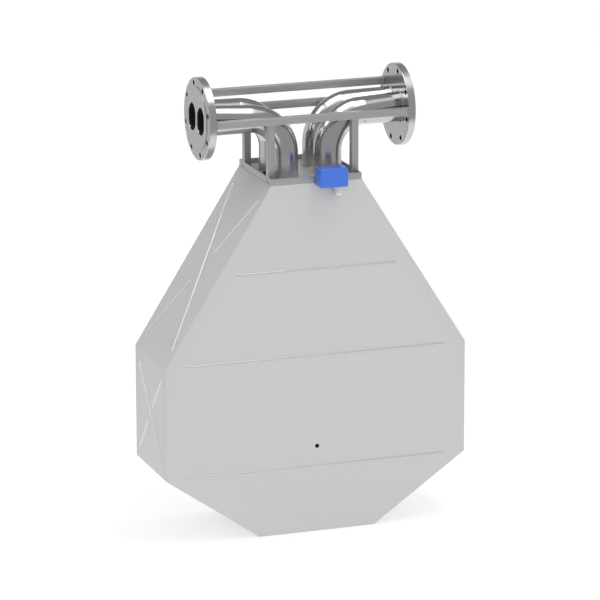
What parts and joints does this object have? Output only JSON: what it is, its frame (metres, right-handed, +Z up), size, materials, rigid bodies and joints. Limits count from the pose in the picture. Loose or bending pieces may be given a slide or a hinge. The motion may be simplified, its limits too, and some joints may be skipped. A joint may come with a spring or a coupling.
{
  "type": "coriolis flow meter",
  "caption": "Flanged mass flow meter with paired tubes bending down into a flat octagonal steel casing, a square-bar frame between the flanges and a small junction box on the collar.",
  "frame": {"origin": "centre of the casing's base plate, on its underside", "axes": "+X along the pipe line from the left flange to the right one, +Z up, -Y to the front with the junction box"},
  "size_m": [1.314, 0.486, 1.907],
  "materials": {
    "flange_steel": "turned and satin polished",
    "tube_steel": "polished",
    "frame_steel": "satin",
    "casing_sheet": "bead blasted",
    "coil_body": "potted winding",
    "magnet_steel": "plain",
    "sensor_brass": "plain",
    "box_paint": "gloss",
    "seal_rubber": "matt",
    "plug_black": "matt",
    "screw_steel": "plain",
    "terminal_plastic": "matt",
    "gland_nickel": "nickel plated"
  },
  "bodies": {
    "root": {"inlet_flange": "flange_steel", "outlet_flange": "flange_steel", "inlet_stub_front": "tube_steel", "inlet_stub_rear": "tube_steel", "outlet_stub_front": "tube_steel", "outlet_stub_rear": "tube_steel", "inlet_elbow_front": "tube_steel", "inlet_elbow_rear": "tube_steel", "outlet_elbow_front": "tube_steel", "outlet_elbow_rear": "tube_steel", "inlet_leg_front": "tube_steel", "inlet_leg_rear": "tube_steel", "outlet_leg_front": "tube_steel", "outlet_leg_rear": "tube_steel", "measuring_loop_front": "tube_steel", "measuring_loop_rear": "tube_steel", "torsion_rod_front": "frame_steel", "torsion_rod_rear": "frame_steel", "mass_bar_front": "frame_steel", "mass_bar_rear": "frame_steel", "drive_coil_left": "coil_body", "drive_coil_right": "coil_body", "drive_magnet_left": "magnet_steel", "drive_magnet_right": "magnet_steel", "pickup_coil_left": "coil_body", "pickup_coil_right": "coil_body", "pickup_magnet_left": "magnet_steel", "pickup_magnet_right": "magnet_steel", "temperature_sensor": "sensor_brass", "collar_frame": "frame_steel", "top_plate": "frame_steel", "casing_front": "casing_sheet", "casing_rear": "casing_sheet", "upper_side_left": "casing_sheet", "upper_side_right": "casing_sheet", "middle_side_left": "casing_sheet", "middle_side_right": "casing_sheet", "lower_side_left": "casing_sheet", "lower_side_right": "casing_sheet", "casing_base": "casing_sheet", "purge_plug": "plug_black", "vent_plug": "plug_black", "post_front_left": "frame_steel", "post_front_right": "frame_steel", "post_rear_left": "frame_steel", "post_rear_right": "frame_steel", "front_rail": "frame_steel", "rear_rail": "frame_steel", "top_rail": "frame_steel", "cable_duct": "frame_steel", "box_bracket": "frame_steel", "box_body": "box_paint", "box_gasket": "seal_rubber", "box_lid": "box_paint", "lid_screws": "screw_steel", "terminal_block": "terminal_plastic", "gland_body": "gland_nickel", "gland_nut": "gland_nickel", "gland_seal": "seal_rubber"}
  },
  "joints": []
}
